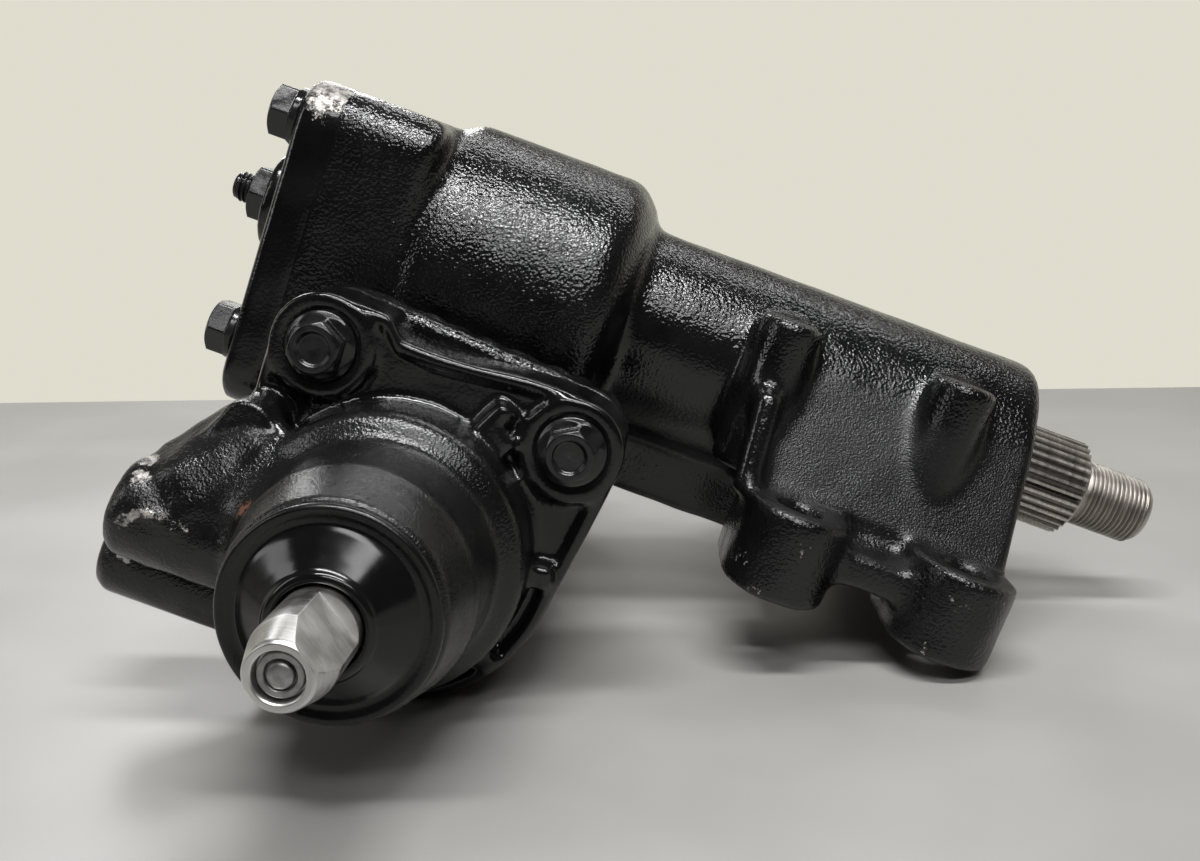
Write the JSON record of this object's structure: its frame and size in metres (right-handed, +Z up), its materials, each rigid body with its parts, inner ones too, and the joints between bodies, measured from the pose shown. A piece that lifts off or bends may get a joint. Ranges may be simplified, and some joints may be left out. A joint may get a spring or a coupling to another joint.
{
  "type": "steering gearbox",
  "caption": "Power steering gearbox: a cast housing with a splined output shaft, a side cover, a front valve housing with an input shaft, hose ports and mounting feet.",
  "frame": {"origin": "on the output shaft's axis at the outer end of its spline", "axes": "the box lies as in the picture: +X along the box toward the output end, -Y along the input shaft out of the box, +Z up; the output shaft points down from +X by the lie of the box"},
  "size_m": [0.32, 0.2802, 0.172],
  "materials": {
    "black_casting": "semi-gloss black paint with orange peel over cast iron",
    "black_fastener": "gloss black",
    "black_rubber": "moulded",
    "brass_seat": "turned",
    "ring_plastic": "filled sealing plastic",
    "bearing_steel": "ground",
    "machined_steel": "turned and ground",
    "plain_steel": "plain"
  },
  "bodies": {
    "housing": {"gear_housing": "black_casting", "side_cover": "black_casting", "side_cover_bolts": "black_fastener", "side_cover_seal": "black_rubber", "adjuster_screw": "machined_steel", "adjuster_lock_nut": "black_fastener", "cover_bearing": "bearing_steel", "neck_inner_bearing": "bearing_steel", "neck_outer_bearing": "bearing_steel", "sector_oil_seal": "black_rubber", "sector_retaining_ring": "plain_steel", "sector_dust_seal": "black_rubber", "valve_housing": "black_casting", "valve_housing_bolts": "black_fastener", "valve_housing_seal": "black_rubber", "thrust_bearing": "bearing_steel", "input_bearing": "bearing_steel", "input_oil_seal": "black_rubber", "input_retaining_ring": "plain_steel", "input_dust_seal": "black_rubber", "pressure_port_seat": "brass_seat", "return_port_seat": "brass_seat"},
    "sector": {"sector_shaft": "machined_steel", "adjuster_retainer": "plain_steel"},
    "rack": {"rack_piston": "machined_steel", "piston_end_plug": "plain_steel", "piston_ring": "ring_plastic", "balls": "bearing_steel", "ball_guide": "plain_steel", "guide_clamp": "plain_steel", "guide_clamp_screws": "plain_steel"},
    "worm": {"worm_shaft": "machined_steel", "valve_sleeve": "machined_steel", "sleeve_rings": "ring_plastic", "sleeve_pin": "plain_steel"},
    "input": {"input_shaft": "machined_steel", "torsion_bar": "machined_steel", "torsion_bar_pin": "plain_steel"}
  },
  "joints": [
    {"name": "sector_rotation", "type": "hinge", "parent": "housing", "child": "sector", "pos_m": [0, 0, 0], "axis": [0.9376, 0, -0.3478], "range_deg": [-40, 40]},
    {"name": "nut_slide", "type": "slide", "parent": "housing", "child": "rack", "axis": [0, 1, 0], "range_m": [-0.02515, 0.02515]},
    {"name": "worm_rotation", "type": "hinge", "parent": "housing", "child": "worm", "pos_m": [-0.21, 0, 0.00751], "axis": [0, -1, 0], "range_deg": [-566, 566]},
    {"name": "input_twist", "type": "hinge", "parent": "worm", "child": "input", "pos_m": [-0.21, 0, 0.00751], "axis": [0, -1, 0], "range_deg": [-4, 4], "stiffness_Nm_per_rad": 90}
  ],
  "couplings": [
    {"joint": "nut_slide", "follows": "sector_rotation", "m_per_rad": 0.036},
    {"joint": "worm_rotation", "follows": "sector_rotation", "ratio": 14.137}
  ]
}
